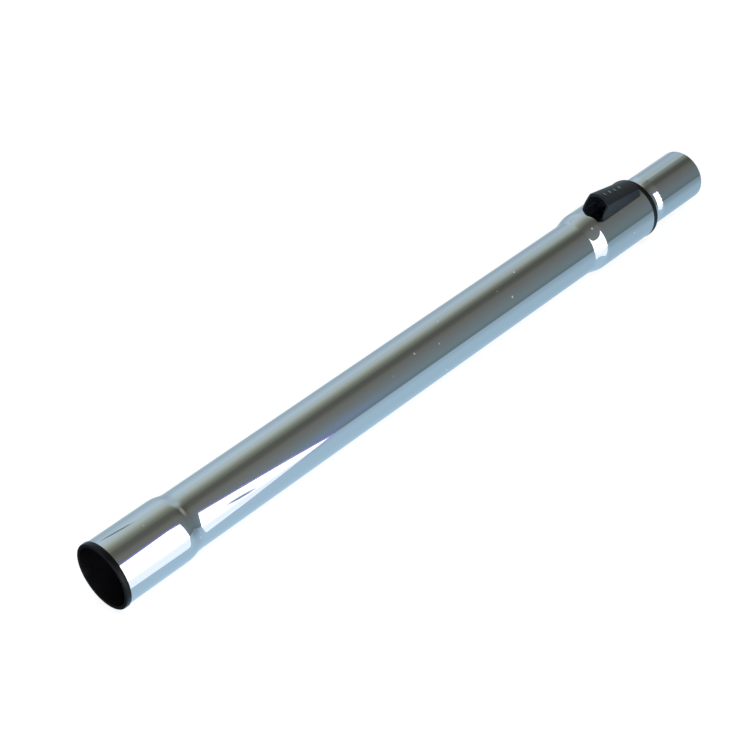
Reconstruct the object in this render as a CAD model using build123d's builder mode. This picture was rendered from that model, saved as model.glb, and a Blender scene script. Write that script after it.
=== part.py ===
from build123d import *
import math
import os

os.makedirs("parts", exist_ok=True)

# Telescopic suction wand, pushed in. X runs along the wand from the mouth of the wide tube, which is
# the origin, to the end of the narrow tube. Z points up through the release button. Millimetres.

# Tubes: the wide tube's outside, both walls, and the room between the two tubes
TUBE_R = 35.0 / 2
WALL = 0.75
TUBE_ROOM = 0.75

# Clearances
RUN = 0.05
SEAT = 0.05
SNUG = 0.02
AIR = 0.3

# Depth of the filling flats under the two moulded rings
GATE_FLAT = 0.15

# Mouth of the wide tube: liner for a spigot as wide as the tube, its flange, and the flare around it
SPIGOT_FIT = 0.05
LINER_WALL = 0.75
LINER_LIP = 0.5
LINER_FLANGE = 3.1
LINER_LENGTH = 43.0
LINER_EDGE = 0.8
LINER_LEAD = 0.3
FLARE_PAST_LINER = 2.5
FLARE_BEND = 8.0
FLARE_EASE = (3.2, 3.6)

# Sleeve at the wide tube's other end, its bend and the wall of the guide inside it
WIDE_LENGTH = 443.2
SLEEVE_LENGTH = 47.2
SLEEVE_BEND = 11.5
SLEEVE_EASE = (2.0, 6.5)
GUIDE_WALL = 2.95
GUIDE_INSET = 1.0
BOSS_R = 2.5
BOSS_ROOT = 1.0
BOSS_INSET = 5.25

# Collar that closes the sleeve, and the wiper ring in it
COLLAR_LENGTH = 3.9
COLLAR_LIP = 0.2
COLLAR_EDGE = 0.8
COLLAR_SPIGOT = 1.5
COLLAR_SPIGOT_WALL = 1.4
WIPER_WIDTH = 2.0
WIPER_HEIGHT = 1.45

# Narrow tube: its flat, neck, cone and socket
FLAT_DEPTH = 0.4
FLAT_PAST_COLLAR = 1.0
NECK_LENGTH = 5.9
CONE_BEND = 5.5
CONE_EASE = (1.6, 2.0)
SOCKET_FIT = 0.1
SOCKET_LENGTH = 41.1
TAIL_MARGIN = 0.9

# Row of pressed notches, and the lock's travel into them
NOTCH_PITCH = 24.0
NOTCH_STEPS = 13
NOTCH_GAP = 0.4
TRAVEL = 3.2
BAR_LIFT = 1.6

# Lock bar and cross pin
BAR_LENGTH = 2.8
BAR_WIDTH = 5.8
BAR_HEAD = 1.0
BAR_NOSE = 0.4
BAR_PLAY = 0.1
PIN_R = 0.75
PIN_RISE = 2.2
PIN_CHAMFER = 0.18

# Slider: its cheeks with the sloping slots, and its rails
CHEEK = 1.2
CHEEK_HEAD = 0.6
SLOT_WALL = 0.95
RAIL_LIFT = 0.2
CROSS_FRONT = 2.0
CROSS_BACK = 1.6
SLIDER_ROOM_FRONT = 3.7
SLIDER_ROOM_BACK = 1.7

# Pocket in the guide, its towers around the bar, and the window in the sleeve above
POCKET_FLOOR_WALL = 0.95
POCKET_END_WALL = 1.4
POCKET_SIDE = 1.0
TOWER = 1.2
TOWER_DROP = 0.15
WINDOW_ROUND = 0.5

# Return springs
SPRING_LENGTH = 14.3
SPRING_WIRE_R = 0.15
SPRING_TURNS = 14
SPRING_REACH = 3.4

# Anti-rattle leaf under the narrow tube
LEAF_LENGTH = 26.0
LEAF_WIDTH = 6.0
LEAF_THICK = 0.3
LEAF_BOW = 1.5

# Guide shells and felt ring at the hidden end of the narrow tube
SHELL_LENGTH = 24.0
SHELL_SPLIT = 0.4
PEG_R = 1.6
STOP_GAP = 0.4
FELT_WIDTH = 3.2

# Button: heights above the sleeve, half widths at its top and at its foot, the curve of its nose in
# side view, scoop and grip ribs
TOP_LENGTH = 32.2
TOP_FRONT_RISE = 8.2
TOP_BACK_RISE = 2.7
TOP_FRONT_HALF = 7.8
TOP_BACK_HALF = 6.3
TOP_CROWN = 2.1
NOSE_LENGTH = 6.7
NOSE_STAND = 5.0
NOSE_LEAN = 3.4
FOOT_DROP = 2.0
FOOT_FRONT_HALF = 8.65
FOOT_BACK_HALF = 8.5
HOME_GAP = 0.3
BUTTON_ROUND = 0.7
BUTTON_WALL = 1.4
BUTTON_ROOF = 1.3
SCOOP_LENGTH = 12.0
SCOOP_DEPTH_R = 10.0
SCOOP_HALF = 7.3
RIB_COUNT = 4
RIB_PITCH = 5.2
RIB_INSET = 3.1
RIB_LENGTH = 3.0
RIB_WIDTH = 1.1
RIB_CORNER = 0.36
RIB_RISE = 0.35

# Radii that follow, from the wide tube inwards and outwards
TUBE_BORE_R = TUBE_R - WALL
INNER_R = TUBE_BORE_R - TUBE_ROOM
INNER_BORE_R = INNER_R - WALL
SHELL_R = TUBE_BORE_R - RUN
LINER_BORE_R = TUBE_R + SPIGOT_FIT
FLARE_BORE_R = LINER_BORE_R + LINER_WALL + SEAT
FLARE_R = FLARE_BORE_R + WALL
LINER_FLANGE_R = FLARE_R + LINER_LIP
GUIDE_BORE_R = INNER_R + RUN
GUIDE_R = GUIDE_BORE_R + GUIDE_WALL
SLEEVE_BORE_R = GUIDE_R + SEAT
SLEEVE_R = SLEEVE_BORE_R + WALL
COLLAR_R = SLEEVE_R + COLLAR_LIP
COLLAR_BORE_R = GUIDE_BORE_R + RUN
COLLAR_SPIGOT_BORE_R = GUIDE_R - COLLAR_SPIGOT_WALL
WIPER_R = GUIDE_BORE_R + WIPER_HEIGHT
SOCKET_R = INNER_R + SOCKET_FIT + WALL
EDGE_ROUND = 0.4 * WALL

# Stations that follow, along the wide tube and the narrow tube
FLARE_END = LINER_LENGTH + FLARE_PAST_LINER
SLEEVE_START = WIDE_LENGTH - SLEEVE_LENGTH
GUIDE_START = SLEEVE_START + GUIDE_INSET
GUIDE_END = WIDE_LENGTH - COLLAR_SPIGOT
BOSS_XS = (GUIDE_START + BOSS_INSET, GUIDE_END - BOSS_INSET)
LEAF_X = (GUIDE_START + GUIDE_END) / 2
COLLAR_END = WIDE_LENGTH + COLLAR_LENGTH
WIPER_START = WIDE_LENGTH + (COLLAR_LENGTH - WIPER_WIDTH) / 2
FLAT_END = COLLAR_END + FLAT_PAST_COLLAR
CONE_START = COLLAR_END + NECK_LENGTH
CONE_END = CONE_START + CONE_BEND
SOCKET_END = CONE_END + SOCKET_LENGTH
SHELL_START = GUIDE_START - STOP_GAP - NOTCH_PITCH * NOTCH_STEPS - SHELL_LENGTH
PEG_X = SHELL_START + SHELL_LENGTH / 2
FELT_START = SHELL_START - FELT_WIDTH
TAIL_X = FELT_START - TAIL_MARGIN

# Lock and slider, worked back from the pocket's end
TOWER_HALF = BAR_LENGTH / 2 + BAR_PLAY + TOWER
POCKET_BACK = GUIDE_END - POCKET_END_WALL
SLIDER_BACK = POCKET_BACK - AIR - TRAVEL
LOCK_X = SLIDER_BACK - CROSS_BACK - SLIDER_ROOM_BACK - TOWER_HALF
SLIDER_FRONT = LOCK_X - TOWER_HALF - TRAVEL - SLIDER_ROOM_FRONT - CROSS_FRONT
POCKET_FRONT = SLIDER_FRONT - SPRING_LENGTH
NECK_FRONT = LOCK_X - TRAVEL - PIN_R - RUN - SLOT_WALL
NECK_BACK = LOCK_X + PIN_R + RUN + SLOT_WALL
CHEEK_INSIDE = BAR_WIDTH / 2 + AIR
CHEEK_OUTSIDE = CHEEK_INSIDE + CHEEK
WINDOW_FRONT = NECK_FRONT - AIR
WINDOW_BACK = NECK_BACK + TRAVEL + AIR
WINDOW_WIDTH = 2 * (CHEEK_OUTSIDE + AIR)
POCKET_WIDTH = 2 * (CHEEK_OUTSIDE + POCKET_SIDE)

# Heights that follow: flat, notches, pocket, rails, springs, pin and cheeks
FLAT_Z = INNER_R - FLAT_DEPTH
BAR_BOTTOM = FLAT_Z + AIR
NOTCH_FLOOR = BAR_BOTTOM - BAR_LIFT - AIR
NOTCH_LENGTH = BAR_LENGTH + 2 * NOTCH_GAP
NOTCH_WIDTH = BAR_WIDTH + 2 * NOTCH_GAP
POCKET_FLOOR = GUIDE_BORE_R + POCKET_FLOOR_WALL
TOWER_TOP = SLEEVE_BORE_R - TOWER_DROP
RAIL_BOTTOM = POCKET_FLOOR + RAIL_LIFT
RAIL_TOP = math.sqrt(SLEEVE_BORE_R**2 - CHEEK_OUTSIDE**2) - AIR
SPRING_OUTER_R = (math.sqrt(SLEEVE_BORE_R**2 - SPRING_REACH**2) - POCKET_FLOOR) / 2 - RUN
SPRING_Y = SPRING_REACH - SPRING_OUTER_R
SPRING_Z = POCKET_FLOOR + RUN + SPRING_OUTER_R
PIN_Z = SLEEVE_R + PIN_RISE
CHEEK_TOP = PIN_Z + PIN_R + RUN + CHEEK_HEAD

# Button, worked back from the collar
TOP_BACK_X = WIDE_LENGTH - HOME_GAP - TRAVEL
TOP_FRONT_X = TOP_BACK_X - TOP_LENGTH
FOOT_FRONT_X = TOP_FRONT_X - NOSE_LENGTH
TOP_FRONT_Z = SLEEVE_R + TOP_FRONT_RISE
TOP_BACK_Z = SLEEVE_R + TOP_BACK_RISE
FOOT_Z = SLEEVE_R - FOOT_DROP
CAP_GAP_R = SLEEVE_R + AIR
SCOOP_BACK_X = TOP_FRONT_X + SCOOP_LENGTH
RIB_XS = [TOP_FRONT_X + RIB_INSET + RIB_PITCH * rib for rib in range(RIB_COUNT)]

# Reach of a cut that goes right through
THROUGH = 2 * TOP_LENGTH


def turned(outer, inner_drop):
    """Draws one side of a turned wall: straight between equal radii, an S bend where they differ."""
    for (x_a, r_a, ease_a), (x_b, r_b, ease_b) in zip(outer, outer[1:]):
        a = (x_a, r_a - inner_drop)
        b = (x_b, r_b - inner_drop)
        if r_a == r_b:
            Line(a, b)
        else:
            Bezier(a, (x_a + ease_a, a[1]), (x_b - ease_b, b[1]), b)


def closed_wall(outer):
    """Draws the closed half section of a tube wall from the stations of its outside."""
    turned(outer, 0)
    turned(outer, WALL)
    for x, r, _ in (outer[0], outer[-1]):
        Line((x, r), (x, r - WALL))


def keyed_circle(radius, flat):
    """Draws a circle whose top is cut off by a flat."""
    Circle(radius)
    with Locations((0, flat + radius)):
        Rectangle(2 * radius, 2 * radius, mode=Mode.SUBTRACT)


def half_width(x, front_x, front_half, back_half):
    """Half width of the button at a station, on a straight line from its front to its back."""
    return front_half + (back_half - front_half) * (x - front_x) / (TOP_BACK_X - front_x)


def edge_height(x):
    """Height of the top's side edges at a station."""
    return TOP_FRONT_Z + (TOP_BACK_Z - TOP_FRONT_Z) * (x - TOP_FRONT_X) / TOP_LENGTH


def button_section(x, wall, roof):
    """Makes the button's section at a station, drawn in by a wall at its sides and a roof on top."""
    top = half_width(x, TOP_FRONT_X, TOP_FRONT_HALF, TOP_BACK_HALF) - wall
    foot = half_width(x, FOOT_FRONT_X, FOOT_FRONT_HALF, FOOT_BACK_HALF) - wall
    z = edge_height(x) - roof
    with BuildSketch(Plane.YZ.offset(x)) as section:
        with BuildLine():
            Polyline((top, z), (foot, FOOT_Z), (-foot, FOOT_Z), (-top, z))
            ThreePointArc((-top, z), (0, z + TOP_CROWN), (top, z))
        make_face()
    return section.sketch.face()


# Wide tube: flared at the mouth, expanded again where the narrow tube comes out
wide_stations = [
    (LINER_FLANGE, FLARE_R, 0),
    (FLARE_END, FLARE_R, FLARE_EASE[0]),
    (FLARE_END + FLARE_BEND, TUBE_R, FLARE_EASE[1]),
    (SLEEVE_START - SLEEVE_BEND, TUBE_R, SLEEVE_EASE[0]),
    (SLEEVE_START, SLEEVE_R, SLEEVE_EASE[1]),
    (WIDE_LENGTH, SLEEVE_R, 0),
]
with BuildPart() as outer_tube:
    with BuildSketch(Plane.XZ):
        with BuildLine():
            closed_wall(wide_stations)
        make_face()
    revolve(axis=Axis.X)
    with BuildSketch(Plane.XY.offset(INNER_R)):
        with Locations(((WINDOW_FRONT + WINDOW_BACK) / 2, 0)):
            RectangleRounded(WINDOW_BACK - WINDOW_FRONT, WINDOW_WIDTH, WINDOW_ROUND)
    extrude(amount=SLEEVE_R, mode=Mode.SUBTRACT)
    with BuildSketch(Plane.XY.offset(-INNER_R)):
        with Locations(*[(x, 0) for x in BOSS_XS]):
            Circle(BOSS_R + SEAT)
    extrude(amount=-SLEEVE_R, mode=Mode.SUBTRACT)

# Plastic liner pushed into the mouth, with the flange that covers the tube's edge. A small flat
# underneath marks where its mould was filled, and the wand lies on it.
with BuildPart() as mouth_liner:
    with BuildSketch(Plane.XZ):
        with BuildLine():
            Polyline(
                (0, LINER_BORE_R), (0, LINER_FLANGE_R), (LINER_FLANGE, LINER_FLANGE_R),
                (LINER_FLANGE, FLARE_BORE_R - SEAT), (LINER_LENGTH, FLARE_BORE_R - SEAT),
                (LINER_LENGTH, LINER_BORE_R), close=True,
            )
        make_face()
    revolve(axis=Axis.X)
    front_edges = mouth_liner.edges().filter_by(GeomType.CIRCLE).group_by(Axis.X)[0].sort_by(SortBy.RADIUS)
    chamfer(front_edges[0], LINER_LEAD)
    front_edges = mouth_liner.edges().filter_by(GeomType.CIRCLE).group_by(Axis.X)[0].sort_by(SortBy.RADIUS)
    fillet(front_edges[-1], LINER_EDGE)
    with BuildSketch(Plane.XY.offset(GATE_FLAT - LINER_FLANGE_R)):
        Rectangle(2 * LINER_FLANGE, LINER_FLANGE_R)
    extrude(amount=-GATE_FLAT, mode=Mode.SUBTRACT)

# Guide sleeve: keyed to the flat on the narrow tube, with the slider's pocket on top and the leaf's below
with BuildPart() as guide_sleeve:
    with BuildSketch(Plane.YZ.offset(GUIDE_START)):
        Circle(GUIDE_R)
    extrude(amount=GUIDE_END - GUIDE_START)
    with BuildSketch(Plane.YZ.offset(GUIDE_START)):
        keyed_circle(GUIDE_BORE_R, FLAT_Z + RUN)
    extrude(amount=GUIDE_END - GUIDE_START, mode=Mode.SUBTRACT)
    with BuildSketch(Plane.XY.offset(POCKET_FLOOR)):
        with Locations(((POCKET_FRONT + POCKET_BACK) / 2, 0)):
            Rectangle(POCKET_BACK - POCKET_FRONT, POCKET_WIDTH)
    extrude(amount=SLEEVE_R, mode=Mode.SUBTRACT)
    with BuildSketch(Plane.XY.offset(POCKET_FLOOR)):
        with Locations((LOCK_X, 0)):
            Rectangle(2 * TOWER_HALF, BAR_WIDTH)
    extrude(amount=TOWER_TOP - POCKET_FLOOR)
    with BuildSketch(Plane.XY.offset(INNER_R / 2)):
        with Locations((LOCK_X, 0)):
            Rectangle(BAR_LENGTH + 2 * BAR_PLAY, BAR_WIDTH + 2 * BAR_PLAY)
    extrude(amount=SLEEVE_R, mode=Mode.SUBTRACT)
    with BuildSketch(Plane.XY.offset(-INNER_R / 2)):
        with Locations((LEAF_X, 0)):
            Rectangle(LEAF_LENGTH + 2 * AIR, LEAF_WIDTH + 2 * AIR)
    extrude(amount=INNER_R / 2 - GUIDE_BORE_R - LEAF_BOW - LEAF_THICK - SEAT, mode=Mode.SUBTRACT)
    with BuildSketch(Plane.XY.offset(BOSS_ROOT - GUIDE_R)):
        with Locations(*[(x, 0) for x in BOSS_XS]):
            Circle(BOSS_R)
    extrude(amount=GUIDE_R - BOSS_ROOT - SLEEVE_R + SEAT)

# Collar that closes the sleeve's end and holds the wiper ring, with a filling flat like the liner's
with BuildPart() as end_collar:
    with BuildSketch(Plane.XZ):
        with BuildLine():
            Polyline(
                (GUIDE_END, COLLAR_SPIGOT_BORE_R), (GUIDE_END, GUIDE_R), (WIDE_LENGTH, GUIDE_R),
                (WIDE_LENGTH, COLLAR_R), (COLLAR_END, COLLAR_R), (COLLAR_END, COLLAR_BORE_R),
                (WIPER_START + WIPER_WIDTH, COLLAR_BORE_R), (WIPER_START + WIPER_WIDTH, WIPER_R),
                (WIPER_START, WIPER_R), (WIPER_START, COLLAR_BORE_R), (WIDE_LENGTH, COLLAR_BORE_R),
                (WIDE_LENGTH, COLLAR_SPIGOT_BORE_R), close=True,
            )
        make_face()
    revolve(axis=Axis.X)
    fillet(end_collar.edges().filter_by(GeomType.CIRCLE).sort_by(SortBy.RADIUS)[-2:], COLLAR_EDGE)
    with BuildSketch(Plane.XY.offset(GATE_FLAT - COLLAR_R)):
        with Locations(((WIDE_LENGTH + COLLAR_END) / 2, 0)):
            Rectangle(COLLAR_LENGTH, COLLAR_R)
    extrude(amount=-GATE_FLAT, mode=Mode.SUBTRACT)

# Wiper ring in the collar's groove
with BuildPart() as wiper_ring:
    with BuildSketch(Plane.YZ.offset(WIPER_START)):
        Circle(WIPER_R)
        Circle(GUIDE_BORE_R, mode=Mode.SUBTRACT)
    extrude(amount=WIPER_WIDTH)

# Bowed leaf in the guide sleeve, under the narrow tube
with BuildPart() as rattle_leaf:
    with BuildSketch(Plane(origin=(LEAF_X, 0, -GUIDE_BORE_R), x_dir=(1, 0, 0), z_dir=(0, -1, 0))):
        with BuildLine():
            left_end = (-LEAF_LENGTH / 2, -LEAF_BOW)
            right_end = (LEAF_LENGTH / 2, -LEAF_BOW)
            left_foot = (-LEAF_LENGTH / 2, -LEAF_BOW - LEAF_THICK)
            right_foot = (LEAF_LENGTH / 2, -LEAF_BOW - LEAF_THICK)
            ThreePointArc(left_end, (0, 0), right_end)
            Line(right_end, right_foot)
            ThreePointArc(right_foot, (0, -LEAF_THICK), left_foot)
            Line(left_foot, left_end)
        make_face()
    extrude(amount=LEAF_WIDTH / 2, both=True)

# Lock bar, bored for its cross pin
with BuildPart() as lock_bar:
    with BuildSketch(Plane.XY.offset(BAR_BOTTOM)):
        with Locations((LOCK_X, 0)):
            Rectangle(BAR_LENGTH, BAR_WIDTH)
    extrude(amount=PIN_Z + BAR_HEAD - BAR_BOTTOM)
    chamfer(lock_bar.faces().sort_by(Axis.Z)[0].edges().filter_by(Axis.Y), BAR_NOSE)
    with BuildSketch(Plane.XZ):
        with Locations((LOCK_X, PIN_Z)):
            Circle(PIN_R)
    extrude(amount=BAR_WIDTH, both=True, mode=Mode.SUBTRACT)

# Cross pin through the bar, which runs in the slider's two slots
with BuildPart() as lock_pin:
    with BuildSketch(Plane.XZ):
        with Locations((LOCK_X, PIN_Z)):
            Circle(PIN_R)
    extrude(amount=CHEEK_OUTSIDE - 2 * RUN, both=True)
    chamfer(lock_pin.edges().filter_by(GeomType.CIRCLE), PIN_CHAMFER)

# Slider under the sleeve: a frame with two cheeks whose sloping slots carry the pin
with BuildPart() as slider:
    with BuildSketch(Plane.XY.offset(RAIL_BOTTOM)):
        with Locations(((SLIDER_FRONT + SLIDER_BACK) / 2, 0)):
            Rectangle(SLIDER_BACK - SLIDER_FRONT, 2 * CHEEK_OUTSIDE)
        with Locations(((SLIDER_FRONT + CROSS_FRONT + SLIDER_BACK - CROSS_BACK) / 2, 0)):
            Rectangle(SLIDER_BACK - CROSS_BACK - SLIDER_FRONT - CROSS_FRONT, 2 * CHEEK_INSIDE, mode=Mode.SUBTRACT)
    extrude(amount=RAIL_TOP - RAIL_BOTTOM)
    with BuildSketch(Plane.XY.offset(RAIL_BOTTOM)):
        with Locations(((NECK_FRONT + NECK_BACK) / 2, 0)):
            Rectangle(NECK_BACK - NECK_FRONT, 2 * CHEEK_OUTSIDE)
            Rectangle(NECK_BACK - NECK_FRONT, 2 * CHEEK_INSIDE, mode=Mode.SUBTRACT)
    extrude(amount=CHEEK_TOP - RAIL_BOTTOM)
    with BuildSketch(Plane.XZ):
        with Locations((LOCK_X - TRAVEL / 2, PIN_Z - BAR_LIFT / 2)):
            slope = math.degrees(math.atan2(BAR_LIFT, TRAVEL))
            SlotCenterToCenter(math.hypot(TRAVEL, BAR_LIFT), 2 * (PIN_R + RUN), rotation=slope)
    extrude(amount=CHEEK_OUTSIDE, both=True, mode=Mode.SUBTRACT)

# Hollow front of the button, a U that is open towards the mouth and below
with BuildPart() as scoop:
    scoop_xs = (FOOT_FRONT_X - BUTTON_WALL, SCOOP_BACK_X)
    loft([button_section(x, BUTTON_WALL, BUTTON_ROOF) for x in scoop_xs])
    with BuildSketch(Plane.XY):
        with Locations((SCOOP_BACK_X - SCOOP_DEPTH_R, 0)):
            Ellipse(SCOOP_DEPTH_R, SCOOP_HALF)
        with Locations((SCOOP_BACK_X - 2 * SCOOP_DEPTH_R, 0)):
            Rectangle(2 * SCOOP_DEPTH_R, 2 * SCOOP_HALF)
    extrude(amount=THROUGH, mode=Mode.INTERSECT)

# Row of small grip ribs along the middle of the button's top
with BuildPart() as grip_ribs:
    row_xs = (RIB_XS[0] - RIB_WIDTH, RIB_XS[-1] + RIB_WIDTH)
    loft([button_section(x, 0, -RIB_RISE) for x in row_xs])
    with BuildSketch(Plane.XY):
        with Locations(*[(x, 0) for x in RIB_XS]):
            RectangleRounded(RIB_WIDTH, RIB_LENGTH, RIB_CORNER)
    extrude(amount=THROUGH, mode=Mode.INTERSECT)

# Button cap: a wedge with a crowned top and a nose that stands up from its foot and leans back to the
# top, with a socket for the slider's cheeks
with BuildPart() as button_cap:
    loft([button_section(x, 0, 0) for x in (FOOT_FRONT_X, TOP_BACK_X)])
    with BuildSketch(Plane.XZ):
        with BuildLine():
            nose_foot = (FOOT_FRONT_X, FOOT_Z)
            nose_top = (TOP_FRONT_X, TOP_FRONT_Z + TOP_CROWN)
            nose_lean = (nose_top[0] - NOSE_LEAN, nose_top[1] - NOSE_LEAN)
            Bezier(nose_foot, (FOOT_FRONT_X, FOOT_Z + NOSE_STAND), nose_lean, nose_top)
            Polyline(
                nose_top, (TOP_FRONT_X, THROUGH), (FOOT_FRONT_X - THROUGH, THROUGH),
                (FOOT_FRONT_X - THROUGH, FOOT_Z), nose_foot,
            )
        make_face()
    extrude(amount=SLEEVE_R, both=True, mode=Mode.SUBTRACT)
    fillet(button_cap.edges().filter_by(lambda edge: edge.center().Z > CHEEK_TOP - CHEEK), BUTTON_ROUND)
    add(grip_ribs.part)
    add(scoop.part, mode=Mode.SUBTRACT)
    with BuildSketch(Plane.YZ.offset(FOOT_FRONT_X - THROUGH / 2)):
        Circle(CAP_GAP_R)
    extrude(amount=2 * THROUGH, mode=Mode.SUBTRACT)
    with BuildSketch(Plane.XY):
        with Locations(((NECK_FRONT + NECK_BACK) / 2, 0)):
            Rectangle(NECK_BACK - NECK_FRONT + 2 * SEAT, 2 * (CHEEK_OUTSIDE + SEAT))
    extrude(amount=CHEEK_TOP + SEAT, mode=Mode.SUBTRACT)


def return_spring(side):
    """Coils one of the two springs that press the slider towards the collar."""
    length = SPRING_LENGTH - 2 * SPRING_WIRE_R
    start = (POCKET_FRONT + SPRING_WIRE_R, side * SPRING_Y, SPRING_Z)
    with BuildPart() as spring:
        with BuildLine() as coil:
            Helix(length / SPRING_TURNS, length, SPRING_OUTER_R - SPRING_WIRE_R, center=start, direction=(1, 0, 0))
        with BuildSketch(Plane(origin=coil.line @ 0, z_dir=coil.line % 0)):
            Circle(SPRING_WIRE_R)
        sweep()
    return spring


return_spring_left = return_spring(1)
return_spring_right = return_spring(-1)

# Narrow tube: flat along its top with a row of pressed notches, round again at the neck, then its socket
notch_places = [(LOCK_X - NOTCH_PITCH * step, 0) for step in range(NOTCH_STEPS + 1)]
narrow_stations = [
    (FLAT_END, INNER_R, 0),
    (CONE_START, INNER_R, CONE_EASE[0]),
    (CONE_END, SOCKET_R, CONE_EASE[1]),
    (SOCKET_END, SOCKET_R, 0),
]
with BuildPart() as inner_tube:
    with BuildSketch(Plane.YZ.offset(TAIL_X)):
        keyed_circle(INNER_R, FLAT_Z)
    extrude(amount=FLAT_END - TAIL_X)
    with BuildSketch(Plane.YZ.offset(TAIL_X)):
        keyed_circle(INNER_BORE_R, FLAT_Z - WALL)
    extrude(amount=FLAT_END - TAIL_X, mode=Mode.SUBTRACT)
    with BuildSketch(Plane.XY.offset(NOTCH_FLOOR - WALL)):
        with Locations(*notch_places):
            RectangleRounded(NOTCH_LENGTH + 2 * WALL, NOTCH_WIDTH + 2 * WALL, NOTCH_GAP + WALL)
    extrude(amount=FLAT_Z - WALL / 2 - NOTCH_FLOOR + WALL)
    with BuildSketch(Plane.XY.offset(NOTCH_FLOOR)):
        with Locations(*notch_places):
            RectangleRounded(NOTCH_LENGTH, NOTCH_WIDTH, NOTCH_GAP)
    extrude(amount=INNER_R, mode=Mode.SUBTRACT)
    with BuildSketch(Plane.XZ):
        with BuildLine():
            closed_wall(narrow_stations)
        make_face()
    revolve(axis=Axis.X)
    fillet(inner_tube.edges().filter_by(GeomType.CIRCLE).group_by(Axis.X)[-1], EDGE_ROUND)
    with BuildSketch(Plane.XY.offset(-INNER_R)):
        with Locations((PEG_X, 0)):
            Circle(PEG_R + SEAT)
    extrude(amount=2 * INNER_R, mode=Mode.SUBTRACT)


def tail_shell(side):
    """Makes one of the two half shells that guide the hidden end, with the peg that holds it."""
    peg_root = (INNER_R + SHELL_R) / 2
    with BuildPart() as shell:
        with BuildSketch(Plane.YZ.offset(SHELL_START)):
            Circle(SHELL_R)
            Circle(INNER_R + SNUG, mode=Mode.SUBTRACT)
            with Locations((0, side * (INNER_R + SHELL_SPLIT / 2))):
                Rectangle(2 * SHELL_R, 2 * INNER_R, mode=Mode.INTERSECT)
        extrude(amount=SHELL_LENGTH)
        with BuildSketch(Plane.XY.offset(side * peg_root)):
            with Locations((PEG_X, 0)):
                Circle(PEG_R)
        extrude(amount=side * (INNER_BORE_R - SNUG - peg_root))
    return shell


tail_shell_upper = tail_shell(1)
tail_shell_lower = tail_shell(-1)

# Felt ring behind the shells, which seals the air gap between the two tubes
with BuildPart() as tail_felt:
    with BuildSketch(Plane.YZ.offset(FELT_START)):
        Circle(SHELL_R)
        Circle(INNER_R + SNUG, mode=Mode.SUBTRACT)
    extrude(amount=FELT_WIDTH)

pieces = {
    "outer_tube": outer_tube,
    "mouth_liner": mouth_liner,
    "guide_sleeve": guide_sleeve,
    "end_collar": end_collar,
    "wiper_ring": wiper_ring,
    "rattle_leaf": rattle_leaf,
    "return_spring_left": return_spring_left,
    "return_spring_right": return_spring_right,
    "button_cap": button_cap,
    "slider": slider,
    "lock_bar": lock_bar,
    "lock_pin": lock_pin,
    "inner_tube": inner_tube,
    "tail_shell_upper": tail_shell_upper,
    "tail_shell_lower": tail_shell_lower,
    "tail_felt": tail_felt,
}
for name, piece in pieces.items():
    piece.part.label = name
    export_step(piece.part, f"parts/{name}.step")
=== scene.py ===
"""Looks and studio for a telescopic suction wand that lies on a pale floor with its button up.

The wide tube and the liner of its mouth are turned anew, finer than the CAD meshes that they stand for. All
other pieces keep their CAD mesh and get a finish. The chrome is a mirror, so most of its look comes from the
surroundings that the studio paints for it.
"""
import logging
import math
from dataclasses import dataclass, replace
from enum import Enum

import bmesh
import bpy
from mathutils import Matrix, Vector


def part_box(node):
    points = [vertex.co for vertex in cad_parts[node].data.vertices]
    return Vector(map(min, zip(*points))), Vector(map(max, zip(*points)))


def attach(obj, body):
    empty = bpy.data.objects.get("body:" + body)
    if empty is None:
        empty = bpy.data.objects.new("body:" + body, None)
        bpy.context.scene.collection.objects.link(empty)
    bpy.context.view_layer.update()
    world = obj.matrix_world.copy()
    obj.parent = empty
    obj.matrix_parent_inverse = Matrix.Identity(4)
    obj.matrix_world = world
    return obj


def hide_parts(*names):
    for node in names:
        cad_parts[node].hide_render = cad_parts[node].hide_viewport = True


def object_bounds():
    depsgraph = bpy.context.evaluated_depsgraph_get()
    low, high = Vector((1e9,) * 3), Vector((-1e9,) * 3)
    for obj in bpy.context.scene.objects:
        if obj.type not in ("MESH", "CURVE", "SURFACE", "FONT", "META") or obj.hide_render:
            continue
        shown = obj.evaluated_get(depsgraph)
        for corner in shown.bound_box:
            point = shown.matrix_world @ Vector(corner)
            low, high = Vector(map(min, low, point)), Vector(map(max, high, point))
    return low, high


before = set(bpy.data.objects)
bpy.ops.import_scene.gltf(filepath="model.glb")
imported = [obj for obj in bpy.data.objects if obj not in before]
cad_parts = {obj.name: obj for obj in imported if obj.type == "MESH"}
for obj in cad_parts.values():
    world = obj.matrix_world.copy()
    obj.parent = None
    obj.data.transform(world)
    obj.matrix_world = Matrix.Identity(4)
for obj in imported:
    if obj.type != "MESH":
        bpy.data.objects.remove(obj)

log = logging.getLogger("wand")
CAD_BOX = [list(corner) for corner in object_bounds()]
MM = 0.001
TURNS = 252
BEND_STEPS = 28
HOLE_SIDES = 64
MERGE_MM = 0.0005
RING_MM = 0.01
SHARP = math.radians(32)
WHITE = (1.0, 1.0, 1.0)

Colour = tuple[float, float, float]
Outline = list[tuple[float, float]]


class Ray(Enum):
    """The kinds of light path that a studio surface tells apart."""

    CAMERA = "Is Camera Ray"
    GLOSSY = "Is Glossy Ray"
    TRANSMISSION = "Is Transmission Ray"


class Body(Enum):
    """The body that new pieces ride on."""

    WIDE = "wide_tube"


def linear(code: str) -> Colour:
    """Turns an sRGB hex colour into linear light.

    Args:
        code: Six hex digits, red first.

    Returns:
        Red, green and blue between 0 and 1.
    """
    shares = [int(code[i:i + 2], 16) / 255 for i in (0, 2, 4)]
    return tuple(s / 12.92 if s <= 0.04045 else ((s + 0.055) / 1.055) ** 2.4 for s in shares)


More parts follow.
